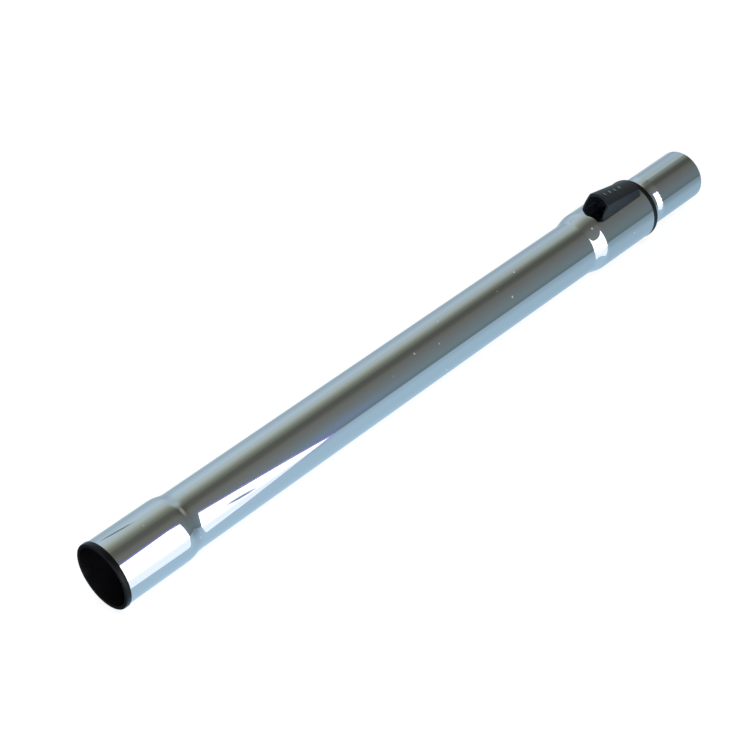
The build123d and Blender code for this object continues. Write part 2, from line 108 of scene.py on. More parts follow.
def add(tree: bpy.types.NodeTree, kind: str, settings: dict | None = None,
        **inputs: object) -> bpy.types.Node:
    """Adds a node with its settings, and sets or links its inputs.

    Args:
        tree: The node tree that gets the node.
        kind: The node's type name.
        settings: Attributes of the node itself, such as operation.
        inputs: Socket names with "_" for spaces, or "in0" for a socket by its number. A socket links.

    Returns:
        The new node.
    """
    node = tree.nodes.new(kind)
    for name, value in (settings or {}).items():
        setattr(node, name, value)
    for name, value in inputs.items():
        socket = node.inputs[int(name[2:])] if name[2:].isdigit() else node.inputs[name.replace("_", " ")]
        if isinstance(value, bpy.types.NodeSocket):
            tree.links.new(value, socket)
        elif isinstance(value, tuple) and socket.type == "RGBA":
            socket.default_value = (*value, 1.0)
        else:
            socket.default_value = value
    return node


def calc(tree: bpy.types.NodeTree, operation: str, *values: object) -> bpy.types.NodeSocket:
    """Adds a sum.

    Args:
        tree: The node tree that gets the sum.
        operation: The math node's operation.
        values: Its numbers or sockets, in order.

    Returns:
        The socket with the result.
    """
    inputs = {f"in{number}": value for number, value in enumerate(values)}
    return add(tree, "ShaderNodeMath", {"operation": operation}, **inputs).outputs[0]


def remap(tree: bpy.types.NodeTree, value: bpy.types.NodeSocket, taken: tuple[float, float] = (0.0, 1.0),
          given: tuple[float, float] = (0.0, 1.0), smooth: bool = False) -> bpy.types.NodeSocket:
    """Stretches one range of a value onto another, and holds it at the ends.

    Args:
        tree: The node tree that gets the node.
        value: The socket that is read.
        taken: The range that is read.
        given: The range that comes out.
        smooth: Whether both ends are eased.

    Returns:
        The socket with the result.
    """
    ease = {"interpolation_type": "SMOOTHSTEP" if smooth else "LINEAR"}
    return add(tree, "ShaderNodeMapRange", ease, Value=value, From_Min=taken[0], From_Max=taken[1],
               To_Min=given[0], To_Max=given[1]).outputs[0]


def blend(tree: bpy.types.NodeTree, share: bpy.types.NodeSocket, base: object,
          over: object) -> bpy.types.NodeSocket:
    """Mixes two colours.

    Args:
        tree: The node tree that gets the node.
        share: The socket with the second colour's share.
        base: The first colour, or its socket.
        over: The second colour, or its socket.

    Returns:
        The socket with the mixed colour.
    """
    return add(tree, "ShaderNodeMix", {"data_type": "RGBA"}, in0=share, in6=base, in7=over).outputs[2]


def ramp(tree: bpy.types.NodeTree, fac: bpy.types.NodeSocket,
         stops: list[tuple[float, Colour]]) -> bpy.types.Node:
    """Adds a colour ramp.

    Args:
        tree: The node tree that gets the ramp.
        fac: The socket that the ramp reads.
        stops: Pairs of a position and a linear colour, lowest first.

    Returns:
        The ramp node.
    """
    node = add(tree, "ShaderNodeValToRGB", in0=fac)
    band = node.color_ramp.elements
    while len(band) < len(stops):
        band.new(1.0)
    for element, (place, colour) in zip(band, stops):
        element.position = place
        element.color = (*colour, 1.0)
    return node


def new_material(name: str) -> tuple[bpy.types.Material, bpy.types.NodeTree, bpy.types.Node,
                                     bpy.types.NodeSocket]:
    """Starts a material.

    Args:
        name: The material's name.

    Returns:
        The material, its node tree, its Principled shader and the Object coordinates.
    """
    material = bpy.data.materials.new(name)
    material.use_nodes = True
    tree = material.node_tree
    shader = tree.nodes["Principled BSDF"]
    place = add(tree, "ShaderNodeTexCoord").outputs["Object"]
    return material, tree, shader, place


@dataclass(frozen=True)
class ChromePlate:
    """Bright chrome plate on drawn and buffed steel tube.

    The eye gets a mirror whose bands waver slightly along the tube, a faint veil, and a few dust specks.
    """

    name: str = "Bright_chrome_plate"
    colour: str = "dcdfe2"
    roughness: float = 0.012
    stretch: float = 0.12
    wave_mm: float = 9.0
    wave_depth_mm: float = 0.004
    veil_mm: float = 36.0
    veil_span: tuple[float, float] = (0.35, 0.75)
    veil_rough: float = 0.02
    buff_mm: float = 0.35
    buff_rough: float = 0.012
    speck_mm: float = 13.0
    speck_radius: float = 0.08
    speck_metal: float = 0.35

    def make(self) -> bpy.types.Material:
        """Builds the material and returns it."""
        material, tree, shader, place = new_material(self.name)
        drawn = add(tree, "ShaderNodeMapping", {"vector_type": "POINT"}, Vector=place,
                    Scale=(self.stretch, 1.0, 1.0)).outputs[0]
        wave = add(tree, "ShaderNodeTexNoise", Vector=drawn, Scale=1 / (self.wave_mm * MM), Detail=2.0)
        buff = add(tree, "ShaderNodeTexNoise", Vector=drawn, Scale=1 / (self.buff_mm * MM), Detail=3.0)
        veil = add(tree, "ShaderNodeTexNoise", Vector=place, Scale=1 / (self.veil_mm * MM), Detail=4.0)
        veiled = remap(tree, veil.outputs[0], self.veil_span,
                       (self.roughness, self.roughness + self.veil_rough))
        fine = calc(tree, "MULTIPLY_ADD", buff.outputs[0], self.buff_rough, veiled)
        bump = add(tree, "ShaderNodeBump", Height=wave.outputs[0], Strength=1.0,
                   Distance=self.wave_depth_mm * MM)
        dust = add(tree, "ShaderNodeTexVoronoi", Vector=place, Scale=1 / (self.speck_mm * MM), Randomness=1.0)
        clean = remap(tree, dust.outputs["Distance"], (0.0, self.speck_radius), (self.speck_metal, 1.0),
                      smooth=True)
        shader.inputs["Base Color"].default_value = (*linear(self.colour), 1.0)
        tree.links.new(clean, shader.inputs["Metallic"])
        tree.links.new(fine, shader.inputs["Roughness"])
        tree.links.new(bump.outputs[0], shader.inputs["Normal"])
        return material


@dataclass(frozen=True)
class MouldedPlastic:
    """Injection-moulded plastic or rubber from a spark-textured mould.

    The eye gets a soft, slightly cloudy gloss. Where a highlight colour is given, the grip ribs' tops are
    paler, a painted highlight where they would catch the light.
    """

    name: str
    colour: str
    cloudy: str
    roughness: float = 0.4
    duller: float = 0.08
    glossier: float = 0.06
    specular: float = 0.5
    grain_mm: float = 0.25
    grain_depth_mm: float = 0.012
    grain_strength: float = 0.6
    cloud_grains: float = 30.0
    cloud_span: tuple[float, float] = (0.35, 0.75)
    ior: float = 1.5
    highlight_colour: str = ""
    rib_count: int = 4
    highlight_first_mm: float = 410.6
    highlight_pitch_mm: float = 5.2
    highlight_half_mm: float = 0.5
    highlight_fade: float = 1.3
    highlight_reach_mm: float = 1.2

    def paint_rib_highlights(self, tree: bpy.types.NodeTree, place: bpy.types.NodeSocket,
            tone: bpy.types.NodeSocket) -> bpy.types.NodeSocket:
        """Paints a highlight on the tops of the button's grip ribs, where they would catch the light.

        Args:
            tree: The material's node tree.
            place: The Object coordinates.
            tone: The colour elsewhere.

        Returns:
            The colour with the painted highlight on the ribs.
        """
        x, y = add(tree, "ShaderNodeSeparateXYZ", Vector=place).outputs[:2]
        sizes = (self.highlight_first_mm, self.highlight_pitch_mm, self.highlight_half_mm)
        first, pitch, half = (size * MM for size in sizes)
        ends = (self.rib_count - 1) / 2 * pitch
        middle = calc(tree, "SUBTRACT", x, first + ends)
        reach = calc(tree, "COMPARE", middle, 0.0, ends + half)
        wave = calc(tree, "PINGPONG", calc(tree, "SUBTRACT", x, first), pitch / 2)
        rib = remap(tree, wave, (half, self.highlight_fade * half), (1.0, 0.0))
        side = calc(tree, "COMPARE", y, 0.0, self.highlight_reach_mm * MM)
        highlight_mask = calc(tree, "MULTIPLY", calc(tree, "MULTIPLY", reach, rib), side)
        return blend(tree, highlight_mask, tone, linear(self.highlight_colour))

    def make(self) -> bpy.types.Material:
        """Builds the material and returns it."""
        material, tree, shader, place = new_material(self.name)
        grain = add(tree, "ShaderNodeTexNoise", Vector=place, Scale=1 / (self.grain_mm * MM), Detail=2.0)
        cloud = add(tree, "ShaderNodeTexNoise", Vector=place,
                    Scale=1 / (self.cloud_grains * self.grain_mm * MM), Detail=3.0)
        shades = (linear(self.colour), linear(self.cloudy))
        tone = ramp(tree, cloud.outputs[0], list(zip(self.cloud_span, shades))).outputs[0]
        # Painted highlight: the grip ribs' tops are given a paler colour where they would catch the light.
        if self.highlight_colour:
            tone = self.paint_rib_highlights(tree, place, tone)
        gloss = remap(tree, cloud.outputs[0],
                      given=(self.roughness - self.glossier, self.roughness + self.duller))
        bump = add(tree, "ShaderNodeBump", Height=grain.outputs[0], Strength=self.grain_strength,
                   Distance=self.grain_depth_mm * MM)
        tree.links.new(tone, shader.inputs["Base Color"])
        tree.links.new(gloss, shader.inputs["Roughness"])
        tree.links.new(bump.outputs[0], shader.inputs["Normal"])
        shader.inputs["IOR"].default_value = self.ior
        shader.inputs["Specular IOR Level"].default_value = self.specular
        return material


@dataclass(frozen=True)
class BrushedSteel:
    """Drawn or ground steel, on which the eye gets fine parallel lines."""

    name: str
    colour: str
    roughness: float = 0.3
    duller: float = 0.1
    glossier: float = 0.08
    line_mm: float = 0.12
    line_depth_mm: float = 0.004
    line_strength: float = 0.5
    run: tuple[float, float, float] = (0.05, 1.0, 1.0)

    def make(self) -> bpy.types.Material:
        """Builds the material and returns it."""
        material, tree, shader, place = new_material(self.name)
        drawn = add(tree, "ShaderNodeMapping", {"vector_type": "POINT"}, Vector=place, Scale=self.run)
        lines = add(tree, "ShaderNodeTexNoise", Vector=drawn.outputs[0], Scale=1 / (self.line_mm * MM),
                    Detail=2.0)
        gloss = remap(tree, lines.outputs[0],
                      given=(self.roughness - self.glossier, self.roughness + self.duller))
        bump = add(tree, "ShaderNodeBump", Height=lines.outputs[0], Strength=self.line_strength,
                   Distance=self.line_depth_mm * MM)
        shader.inputs["Base Color"].default_value = (*linear(self.colour), 1.0)
        shader.inputs["Metallic"].default_value = 1.0
        tree.links.new(gloss, shader.inputs["Roughness"])
        tree.links.new(bump.outputs[0], shader.inputs["Normal"])
        return material


@dataclass(frozen=True)
class PressedFelt:
    """Pressed grey wool felt, on which the eye gets matted fibres with a soft, light edge."""

    name: str = "Pressed_wool_felt"
    colour: str = "8b8a86"
    dark: str = "5d5c59"
    roughness: float = 0.95
    sheen: float = 0.4
    fibre_mm: float = 0.2
    fibre_depth_mm: float = 0.15
    fibre_span: tuple[float, float] = (0.3, 0.7)
    fibre_strength: float = 0.8

    def make(self) -> bpy.types.Material:
        """Builds the material and returns it."""
        material, tree, shader, place = new_material(self.name)
        fibre = add(tree, "ShaderNodeTexNoise", Vector=place, Scale=1 / (self.fibre_mm * MM), Detail=6.0,
                    Roughness=0.7)
        shades = (linear(self.dark), linear(self.colour))
        tone = ramp(tree, fibre.outputs[0], list(zip(self.fibre_span, shades)))
        bump = add(tree, "ShaderNodeBump", Height=fibre.outputs[0], Strength=self.fibre_strength,
                   Distance=self.fibre_depth_mm * MM)
        tree.links.new(tone.outputs[0], shader.inputs["Base Color"])
        tree.links.new(bump.outputs[0], shader.inputs["Normal"])
        shader.inputs["Roughness"].default_value = self.roughness
        shader.inputs["Sheen Weight"].default_value = self.sheen
        return material


Finish = ChromePlate | MouldedPlastic | BrushedSteel | PressedFelt

CHROME = ChromePlate()
LINER_BLACK = MouldedPlastic("Moulded_black_ABS_liner", "0a090b", "0e0d11", roughness=0.28, specular=0.2)
COLLAR_BLACK = MouldedPlastic("Moulded_black_ABS_collar", "090b0d", "0e1013", roughness=0.36, specular=0.22)
# The button's paler rib tops, 6a7278, are a painted highlight.
BUTTON_BLACK = MouldedPlastic("Moulded_charcoal_ABS_button", "161a20", "1c2127", roughness=0.36, specular=0.3,
                              highlight_colour="6a7278")
ACETAL = MouldedPlastic("Natural_acetal", "e6e4dc", "dcd9cf", roughness=0.45, ior=1.48)
RUBBER = MouldedPlastic("Black_nitrile_rubber", "1a1a1b", "242425", roughness=0.7, grain_mm=0.4)
SPRING_STEEL = BrushedSteel("Drawn_spring_steel", "a9abb0")
LOCK_STEEL = BrushedSteel("Ground_lock_steel", "9fa1a6", roughness=0.26, run=(1.0, 0.05, 1.0))
FELT = PressedFelt()


class Workshop:
    """Makes each finish once, and puts finishes on pieces."""

    def __init__(self) -> None:
        """Starts with no material made."""
        self.made: dict[str, bpy.types.Material] = {}

    def coat(self, piece: bpy.types.Object, finish: Finish) -> None:
        """Gives a piece one finish all over.

        Args:
            piece: The object that gets the material.
            finish: The finish.
        """
        if finish.name not in self.made:
            self.made[finish.name] = finish.make()
        piece.data.materials.clear()
        piece.data.materials.append(self.made[finish.name])
        log.info("%s wears %s", piece.name, finish.name)

    def coat_nodes(self, wearers: dict[str, Finish]) -> None:
        """Gives CAD nodes that keep their mesh a finish each, by node name."""
        for name, finish in wearers.items():
            self.coat(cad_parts[name], finish)

    def piece(self, mesh: bmesh.types.BMesh, name: str, body: Body, slot: str, node: str) -> bpy.types.Object:
        """Turns a finished bmesh into a smooth piece that stands for a CAD node.

        Args:
            mesh: The bmesh, which is freed.
            name: The new object's name.
            body: The body that it rides on.
            slot: The record's material slot, which is not used.
            node: The CAD node that it replaces.

        Returns:
            The new object.
        """
        data = bpy.data.meshes.new(name)
        mesh.to_mesh(data)
        mesh.free()
        data.shade_smooth()
        data.set_sharp_from_angle(angle=SHARP)
        piece = bpy.data.objects.new(name, data)
        bpy.context.scene.collection.objects.link(piece)
        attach(piece, body.value)
        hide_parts(node)
        log.info("built %s with %d faces", name, len(data.polygons))
        return piece


def bend(start: tuple[float, float], end: tuple[float, float], eases: tuple[float, float]) -> Outline:
    """Draws an S bend between two radii as a cubic curve with level ends.

    Args:
        start: Station and radius where it leaves, in millimetres.
        end: Station and radius where it arrives.
        eases: Lengths of its two level handles.

    Returns:
        The points after the start, up to the end.
    """
    handles = (start, (start[0] + eases[0], start[1]), (end[0] - eases[1], end[1]), end)
    points = []
    for step in range(1, BEND_STEPS + 1):
        t = step / BEND_STEPS
        shares = ((1 - t) ** 3, 3 * t * (1 - t) ** 2, 3 * t * t * (1 - t), t ** 3)
        points.append(tuple(sum(s * h[axis] for s, h in zip(shares, handles)) for axis in (0, 1)))
    return points


def spun(outline: Outline) -> bmesh.types.BMesh:
    """Spins a closed half section once round the wand's axis.

    Args:
        outline: Stations and radii round the section, in millimetres.

    Returns:
        A closed mesh whose faces point outwards.
    """
    mesh = bmesh.new()
    corners = [mesh.verts.new((x * MM, 0.0, r * MM)) for x, r in outline]
    sides = [mesh.edges.new(pair) for pair in zip(corners, corners[1:] + corners[:1])]
    bmesh.ops.spin(mesh, geom=corners + sides, cent=(0, 0, 0), axis=(1, 0, 0), dvec=(0, 0, 0),
                   angle=2 * math.pi, steps=TURNS, use_merge=True, use_normal_flip=False, use_duplicate=False)
    bmesh.ops.remove_doubles(mesh, verts=mesh.verts, dist=MERGE_MM * MM)
    bmesh.ops.recalc_face_normals(mesh, faces=mesh.faces)
    return mesh


def round_rings(mesh: bmesh.types.BMesh, x: float, r: float, size: float, segments: int) -> None:
    """Rounds the ring edge of a spun mesh at one station and radius.

    Args:
        mesh: The spun mesh.
        x: The ring's station, in millimetres.
        r: Its radius, in millimetres.
        size: How far the rounding reaches, in millimetres.
        segments: Its number of steps.
    """
    on_ring = {
        vertex for vertex in mesh.verts
        if abs(vertex.co.x / MM - x) < RING_MM and abs(vertex.co.yz.length / MM - r) < RING_MM
    }
    edges = [edge for edge in mesh.edges if on_ring.issuperset(edge.verts)]
    bmesh.ops.bevel(mesh, geom=edges, offset=size * MM, offset_type="OFFSET", affect="EDGES",
                    segments=segments, profile=0.5, material=-1)


def carve(piece: bpy.types.Object, cutters: list[bmesh.types.BMesh]) -> None:
    """Cuts closed shapes out of a piece and keeps only the result.

    Args:
        piece: The object that is cut.
        cutters: Closed bmeshes, which are freed.
    """
    helpers = []
    for number, cutter in enumerate(cutters):
        data = bpy.data.meshes.new(f"cutter_{number}")
        cutter.to_mesh(data)
        cutter.free()
        helper = bpy.data.objects.new(f"cutter_{number}", data)
        bpy.context.scene.collection.objects.link(helper)
        helpers.append(helper)
        knife = piece.modifiers.new(helper.name, "BOOLEAN")
        knife.operation = "DIFFERENCE"
        knife.solver = "EXACT"
        knife.object = helper
    bpy.context.view_layer.update()
    done = bpy.data.meshes.new_from_object(piece.evaluated_get(bpy.context.evaluated_depsgraph_get()))
    piece.modifiers.clear()
    piece.data = done
    done.set_sharp_from_angle(angle=SHARP)
    for helper in helpers:
        bpy.data.meshes.remove(helper.data)


@dataclass
class WideTube:
    """The wide tube with what is fixed in it. Sizes are in millimetres."""

    radius: float = 17.5
    wall: float = 0.75
    flare_radius: float = 19.1
    flare_end: float = 43.5
    flare_bend: float = 13.0
    flare_eases: tuple[float, float] = (6.5, 7.5)
    sleeve_radius: float = 19.8
    sleeve_start: float = 396.0
    sleeve_bend: float = 11.5
    sleeve_eases: tuple[float, float] = (1.5, 3.0)
    window: tuple[float, float, float] = (425.55, 436.05, 9.4)
    window_margins: tuple[float, float] = (2.0, 4.0)
    boss_stations: tuple[float, float] = (402.25, 436.45)
    boss_radius: float = 2.55
    boss_margin: float = 4.0
    liner_bore: float = 17.55
    liner_wall: float = 0.75
    liner_end: float = 43.0
    flange: float = 3.1
    flange_radius: float = 19.6
    flange_round: float = 0.8
    flange_steps: int = 8
    flange_flat: float = 0.15
    lead: float = 0.3
    lead_steps: int = 2
    back_steps: int = 3

    def outside(self, drop: float, mouth: float, end: float) -> Outline:
        """Draws the tube's outside from mouth to end.

        Args:
            drop: How far inside it the line runs, in millimetres, which is the wall for the bore.
            mouth: The station of the flared end, in millimetres.
            end: The station of the sleeve's end.

        Returns:
            Stations and radii. The extra rings keep long faces away from the cuts.
        """
        flare, tube, sleeve = (r - drop for r in (self.flare_radius, self.radius, self.sleeve_radius))
        points = [(mouth, flare), (self.flare_end, flare)]
        points += bend(points[-1], (self.flare_end + self.flare_bend, tube), self.flare_eases)
        points.append((self.sleeve_start - self.sleeve_bend, tube))
        points += bend(points[-1], (self.sleeve_start, sleeve), self.sleeve_eases)
        boss = self.boss_stations[0]
        before, after = self.window_margins
        rings = (boss - self.boss_margin, boss + self.boss_margin, self.window[0] - before,
                 self.window[1] + after)
        return points + [(station, sleeve) for station in (*rings, end)]

    def build_tube(self, shop: Workshop) -> bpy.types.Object:
        """Spins the chromed tube, then cuts the button's window and the two boss holes."""
        low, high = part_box("outer_tube")
        mouth, end = low.x / MM, high.x / MM
        wall = self.outside(0.0, mouth, end) + self.outside(self.wall, mouth, end)[::-1]
        tube = shop.piece(spun(wall), "Wide_tube_shell", Body.WIDE, "chromed_steel", "outer_tube")
        front, back, width = self.window
        deep = self.sleeve_radius
        window = bmesh.new()
        place = Matrix.Translation(((front + back) / 2 * MM, 0, deep * MM))
        bmesh.ops.create_cube(window, size=1.0, matrix=place @ Matrix.Diagonal(
            ((back - front) * MM, width * MM, deep * MM, 1.0)))
        cutters = [window]
        for station in self.boss_stations:
            hole = bmesh.new()
            bmesh.ops.create_cone(hole, cap_ends=True, segments=HOLE_SIDES, radius1=self.boss_radius * MM,
                                  radius2=self.boss_radius * MM, depth=deep * MM,
                                  matrix=Matrix.Translation((station * MM, 0, -deep * MM)))
            cutters.append(hole)
        carve(tube, cutters)
        return tube

    def build_liner(self, shop: Workshop) -> bpy.types.Object:
        """Spins the mouth's liner with its rounded flange and the flat that it lies on."""
        skin = self.liner_bore + self.liner_wall
        outline = [
            (0.0, self.liner_bore), (0.0, self.flange_radius), (self.flange, self.flange_radius),
            (self.flange, skin), (self.liner_end, skin), (self.liner_end, self.liner_bore),
        ]
        mesh = spun(outline)
        round_rings(mesh, 0.0, self.flange_radius, self.flange_round, self.flange_steps)
        round_rings(mesh, 0.0, self.liner_bore, self.lead, self.lead_steps)
        round_rings(mesh, self.flange, self.flange_radius, self.lead / 2, self.back_steps)
        lowest = (self.flange_flat - self.flange_radius) * MM
        for vertex in mesh.verts:
            vertex.co.z = max(vertex.co.z, lowest)
        return shop.piece(mesh, "Mouth_liner_ring", Body.WIDE, "liner_plastic", "mouth_liner")

    def dress(self, shop: Workshop) -> None:
        """Builds the turned pieces and gives every fixed piece its finish."""
        shop.coat(self.build_tube(shop), CHROME)
        shop.coat(self.build_liner(shop), LINER_BLACK)
        shop.coat_nodes({
            "guide_sleeve": ACETAL, "end_collar": COLLAR_BLACK, "wiper_ring": RUBBER,
            "rattle_leaf": SPRING_STEEL, "return_spring_left": SPRING_STEEL,
            "return_spring_right": SPRING_STEEL,
        })


@dataclass
class NarrowTube:
    """The narrow tube with the shells and the felt on its hidden end."""

    def dress(self, shop: Workshop) -> None:
        """Gives the sliding pieces their finishes."""
        shop.coat_nodes({
            "inner_tube": CHROME, "tail_shell_upper": ACETAL, "tail_shell_lower": ACETAL, "tail_felt": FELT,
        })


@dataclass
class ReleaseButton:
    """The button cap, its slider, and the lock that they lift."""

    def dress(self, shop: Workshop) -> None:
        """Gives the button and the lock their finishes."""
        shop.coat_nodes({
            "button_cap": BUTTON_BLACK, "slider": ACETAL, "lock_bar": LOCK_STEEL, "lock_pin": LOCK_STEEL,
        })


@dataclass(frozen=True)
class Patch:
    """A soft-edged area of the surroundings, by slant along the wand and angle round it, in degrees.

    With a pinch it has no end towards low slants, but narrows there to that share of its height.
    """

    colour: str
    slant: float
    slant_half: float
    angle: float
    angle_half: float
    power: float = 1.0
    strength: float = 1.0
    lean: float = 0.0
    growth: float = 0.0
    squareness: float = 2.0
    soft: float = 0.05
    pinch: float | None = None
    pinch_span: tuple[float, float] = (14.0, 23.0)


# In each patch the slant, its half, the angle and its half come first.
WINDOW = Patch("ffffff", 26.0, 5.2, -80.0, 14.4, power=1.7, lean=-2.0, growth=1.2, squareness=1.1, soft=0.03,
               pinch=0.85)
WINDOW_FRINGE = replace(WINDOW, colour="7878bb", power=1.0, slant_half=5.6, angle=-77.8, angle_half=16.8,
                        pinch=0.6)
WINDOW_MARK = Patch("6f83a8", 28.3, 0.65, -83.0, 7.0, lean=-12.0, soft=0.5)
RING_SHADE = Patch("2b3135", -24.0, 40.0, 146.0, 42.0, soft=0.7)
WALL_BY_SOCKET = Patch("5b686b", 53.0, 21.0, -94.0, 42.0, strength=0.6, soft=1.0)
COVE_BY_BUTTON = Patch("a0b4bd", 48.0, 17.0, 38.0, 24.0, strength=0.5, soft=1.0)
TABLE_BY_BUTTON = Patch("c2ccd3", 50.0, 18.0, 116.0, 24.0, strength=0.5, soft=1.0)
CEILING_GLOW = Patch("8f8d80", 62.0, 14.0, 6.0, 42.0, soft=0.6)
WALL_BY_WINDOW = Patch("6b7b98", 31.5, 3.4, -72.0, 26.0, strength=0.6, soft=1.0)
FLARE_STREAK = Patch("4d5553", 24.3, 0.85, 66.0, 4.5, strength=0.8, lean=-11.0, soft=0.5)
PATCHES = (RING_SHADE, WALL_BY_SOCKET, COVE_BY_BUTTON, TABLE_BY_BUTTON, CEILING_GLOW, WALL_BY_WINDOW,
           FLARE_STREAK, WINDOW_FRINGE)


@dataclass(frozen=True)
class Softbox:
    """A soft rectangular lamp that gloss doesn't show. Places and sizes are in metres, power in watts."""

    name: str
    place: tuple[float, float, float]
    target: tuple[float, float, float]
    size: tuple[float, float]
    power: float

    def hang(self) -> None:
        """Adds the lamp to the scene, turned to its target."""
        data = bpy.data.lights.new(self.name, "AREA")
        data.shape = "RECTANGLE"
        data.size, data.size_y = self.size
        data.energy = self.power
        lamp = bpy.data.objects.new(self.name, data)
        lamp.location = self.place
        aim = Vector(self.target) - Vector(self.place)
        lamp.rotation_euler = aim.to_track_quat("-Z", "Y").to_euler()
        lamp.visible_glossy = False
        bpy.context.scene.collection.objects.link(lamp)
        log.info("hung %s", self.name)


LAMPS = (
    Softbox("Key_softbox", (0.15, -0.5, 1.4), (0.25, 0.0, 0.0), (0.9, 0.9), 7.0),
    Softbox("Far_softbox", (0.4, 1.2, 0.9), (0.3, 0.0, 0.0), (1.2, 0.8), 7.0),
    Softbox("Mouth_side_softbox", (-0.9, -0.7, 0.6), (0.3, 0.0, 0.0), (0.7, 0.7), 8.0),
)


@dataclass
class Studio:
    """Pale floor, surroundings that the chrome mirrors, lamps and camera.

    The surroundings are given by angle from straight up, in degrees, positive towards +Y, as bands that
    run along the wand: a dim room on the near side, a darker ceiling, a lit backdrop, and the table below.
    Patches lie over the bands, the brightest a window low on the near side, mirrored in the table too.
    """

    floor_half: float = 3.0
    paper: float = 0.35
    shadow_share: float = 0.25
    lit_from: float = 0.5
    lit_to: float = 1.3
    plate: float = 0.70
    table_under: str = "9db8cc"
    table_near: str = "9ab4c5"
    table_edge: str = "93a8b6"
    wall_foot: str = "607178"
    near_wall: str = "6b7b7e"
    wall_top: str = "6a7072"
    ceiling_near: str = "64655f"
    ceiling: str = "51524d"
    cove: str = "707669"
    cove_lit: str = "91958d"
    backdrop_top: str = "a0aca8"
    backdrop: str = "a9bac4"
    backdrop_middle: str = "9fb1be"
    backdrop_low: str = "93a5b1"
    table_end: str = "93a4ae"
    table_far: str = "a2b1b9"
    table_back: str = "b4c6d2"
    dim_span: tuple[float, float] = (28.0, 46.0)
    dim_least: float = 0.82
    window_foot: tuple[float, float] = (-96.0, -91.0)
    window_in_table: tuple[str, str] = ("f6fbff", "cfe2f3")
    streak_slowness: float = 0.12
    streak_scale: float = 0.35
    streak_span: tuple[float, float] = (0.42, 0.6)
    eye: tuple[float, float, float] = (-0.35458, -0.47909, 0.68421)
    eye_right: tuple[float, float, float] = (0.68289, -0.72910, 0.04557)
    eye_up: tuple[float, float, float] = (0.47122, 0.48730, 0.73518)
    focal_px: float = 1761.08
    frame_px: float = 750.0
    sensor_mm: float = 36.0

    def mirrored(self, code: str, power: float = 1.0) -> Colour:
        """Turns a colour as the chrome shows it into the brighter one that stands round it."""
        return tuple(share / self.plate * power for share in linear(code))

    def bands(self) -> list[tuple[float, Colour]]:
        """Lists the room's bands in order round the wand, each with the place where it shows pure."""
        seen = [
            (-180, self.table_under), (-150, self.table_near), (-112, self.table_near),
            (-91, self.table_edge), (-89, self.wall_foot), (-74, self.near_wall), (-42, self.wall_top),
            (-18, self.ceiling_near), (-4, self.ceiling), (8, self.ceiling), (23, self.cove),
            (35, self.cove_lit), (45, self.backdrop_top), (66, self.backdrop), (84, self.backdrop_middle),
            (98, self.backdrop_low), (112, self.table_end), (126, self.table_far), (150, self.table_back),
            (180, self.table_under),
        ]
        return [((angle + 180) / 360, self.mirrored(code)) for angle, code in seen]

    def lay(self, tree: bpy.types.NodeTree, below: bpy.types.NodeSocket, along: bpy.types.NodeSocket,
            around: bpy.types.NodeSocket, patch: Patch,
            tone: bpy.types.NodeSocket | None = None) -> bpy.types.NodeSocket:
        """Lays one patch over the surroundings.

        Args:
            tree: The world's node tree.
            below: The colour so far.
            along: The slant, in degrees.
            around: The angle round the wand, in degrees.
            patch: What is laid.
            tone: Its colour where this isn't the patch's own.

        Returns:
            The colour with the patch.
        """
        off = calc(tree, "SUBTRACT", along, patch.slant)
        if patch.pinch:
            off = calc(tree, "MAXIMUM", off, 0.0)
        share = calc(tree, "DIVIDE", off, patch.slant_half)
        centre = calc(tree, "MULTIPLY_ADD", off, patch.lean, patch.angle)
        half = calc(tree, "MULTIPLY_ADD", along, patch.growth, patch.angle_half)
        if patch.pinch:
            half = calc(tree, "MULTIPLY", half, remap(tree, along, patch.pinch_span, (patch.pinch, 1.0)))
        turn = calc(tree, "DIVIDE", calc(tree, "SUBTRACT", around, centre), half)
        sides = (calc(tree, "ABSOLUTE", part) for part in (share, turn))
        powers = [calc(tree, "POWER", side, patch.squareness) for side in sides]
        reach = calc(tree, "POWER", calc(tree, "ADD", *powers), 1 / patch.squareness)
        cover = remap(tree, reach, (1 - patch.soft, 1.0), (patch.strength, 0.0), smooth=True)
        return blend(tree, cover, below, tone or self.mirrored(patch.colour, patch.power))

    def panes(self, tree: bpy.types.NodeTree, along: bpy.types.NodeSocket,
              around: bpy.types.NodeSocket) -> bpy.types.NodeSocket:
        """Colours the window white, and bluish with lengthwise streaks where the table mirrors it.

        Args:
            tree: The world's node tree.
            along: The slant, in degrees.
            around: The angle round the wand, in degrees.

        Returns:
            The window's colour.
        """
        slow = calc(tree, "MULTIPLY", along, self.streak_slowness)
        place = add(tree, "ShaderNodeCombineXYZ", X=slow, Y=around)
        noise = add(tree, "ShaderNodeTexNoise", Vector=place.outputs[0], Scale=self.streak_scale, Detail=3.0,
                    Roughness=0.6)
        dull = remap(tree, noise.outputs[0], self.streak_span)
        table = remap(tree, around, self.window_foot, (1.0, 0.0))
        below = blend(tree, dull, *(self.mirrored(code) for code in self.window_in_table))
        return blend(tree, table, self.mirrored(WINDOW.colour, WINDOW.power), below)

